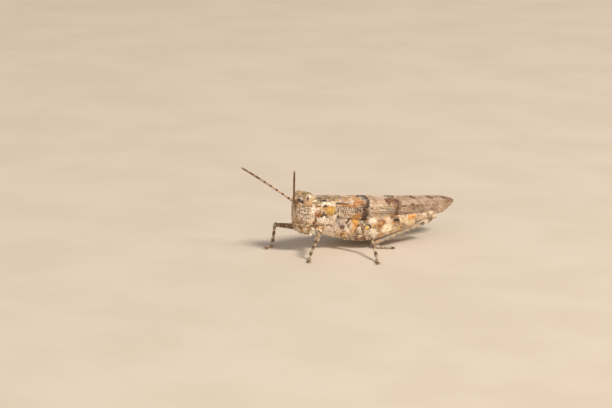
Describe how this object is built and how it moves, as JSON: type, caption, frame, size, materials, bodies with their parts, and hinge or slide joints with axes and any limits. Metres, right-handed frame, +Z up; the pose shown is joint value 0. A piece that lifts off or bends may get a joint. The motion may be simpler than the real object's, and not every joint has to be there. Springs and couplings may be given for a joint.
{
  "type": "grasshopper",
  "caption": "Life-size band-winged grasshopper in speckled sand colours, standing with its wings folded and its antennae raised, as a still model.",
  "frame": {"origin": "on the floor, under the middle of the bounding box", "axes": "the head points along -X, the insect's left side is -Y, and +Z is up"},
  "size_m": [0.0336, 0.022, 0.0133],
  "materials": {
    "cuticle": "matte, speckled sand colour",
    "wing": "matte, banded sand colour",
    "hindwing": "thin and pale",
    "eye": "smooth and shiny",
    "antenna": "matte, ringed brown",
    "leg": "matte, banded cream",
    "shin": "matte, blue-grey",
    "mouth": "satin"
  },
  "bodies": {
    "root": {"head": "cuticle", "labrum": "mouth", "labium": "mouth", "pronotum": "cuticle", "thorax": "cuticle", "abdomen": "cuticle", "ovipositor": "mouth", "eye_left": "eye", "antenna_left": "antenna", "mandible_left": "mouth", "maxillary_palp_left": "mouth", "labial_palp_left": "mouth", "forewing_left": "wing", "hindwing_left": "hindwing", "cercus_left": "mouth", "eye_right": "eye", "antenna_right": "antenna", "mandible_right": "mouth", "maxillary_palp_right": "mouth", "labial_palp_right": "mouth", "forewing_right": "wing", "hindwing_right": "hindwing", "cercus_right": "mouth", "coxa_fore_left": "leg", "femur_fore_left": "leg", "tibia_fore_left": "leg", "tarsus_fore_left": "leg", "coxa_fore_right": "leg", "femur_fore_right": "leg", "tibia_fore_right": "leg", "tarsus_fore_right": "leg", "coxa_middle_left": "leg", "femur_middle_left": "leg", "tibia_middle_left": "leg", "tarsus_middle_left": "leg", "coxa_middle_right": "leg", "femur_middle_right": "leg", "tibia_middle_right": "leg", "tarsus_middle_right": "leg", "coxa_hind_left": "leg", "femur_hind_left": "leg", "tibia_hind_left": "shin", "tarsus_hind_left": "shin", "coxa_hind_right": "leg", "femur_hind_right": "leg", "tibia_hind_right": "shin", "tarsus_hind_right": "shin"}
  },
  "joints": []
}
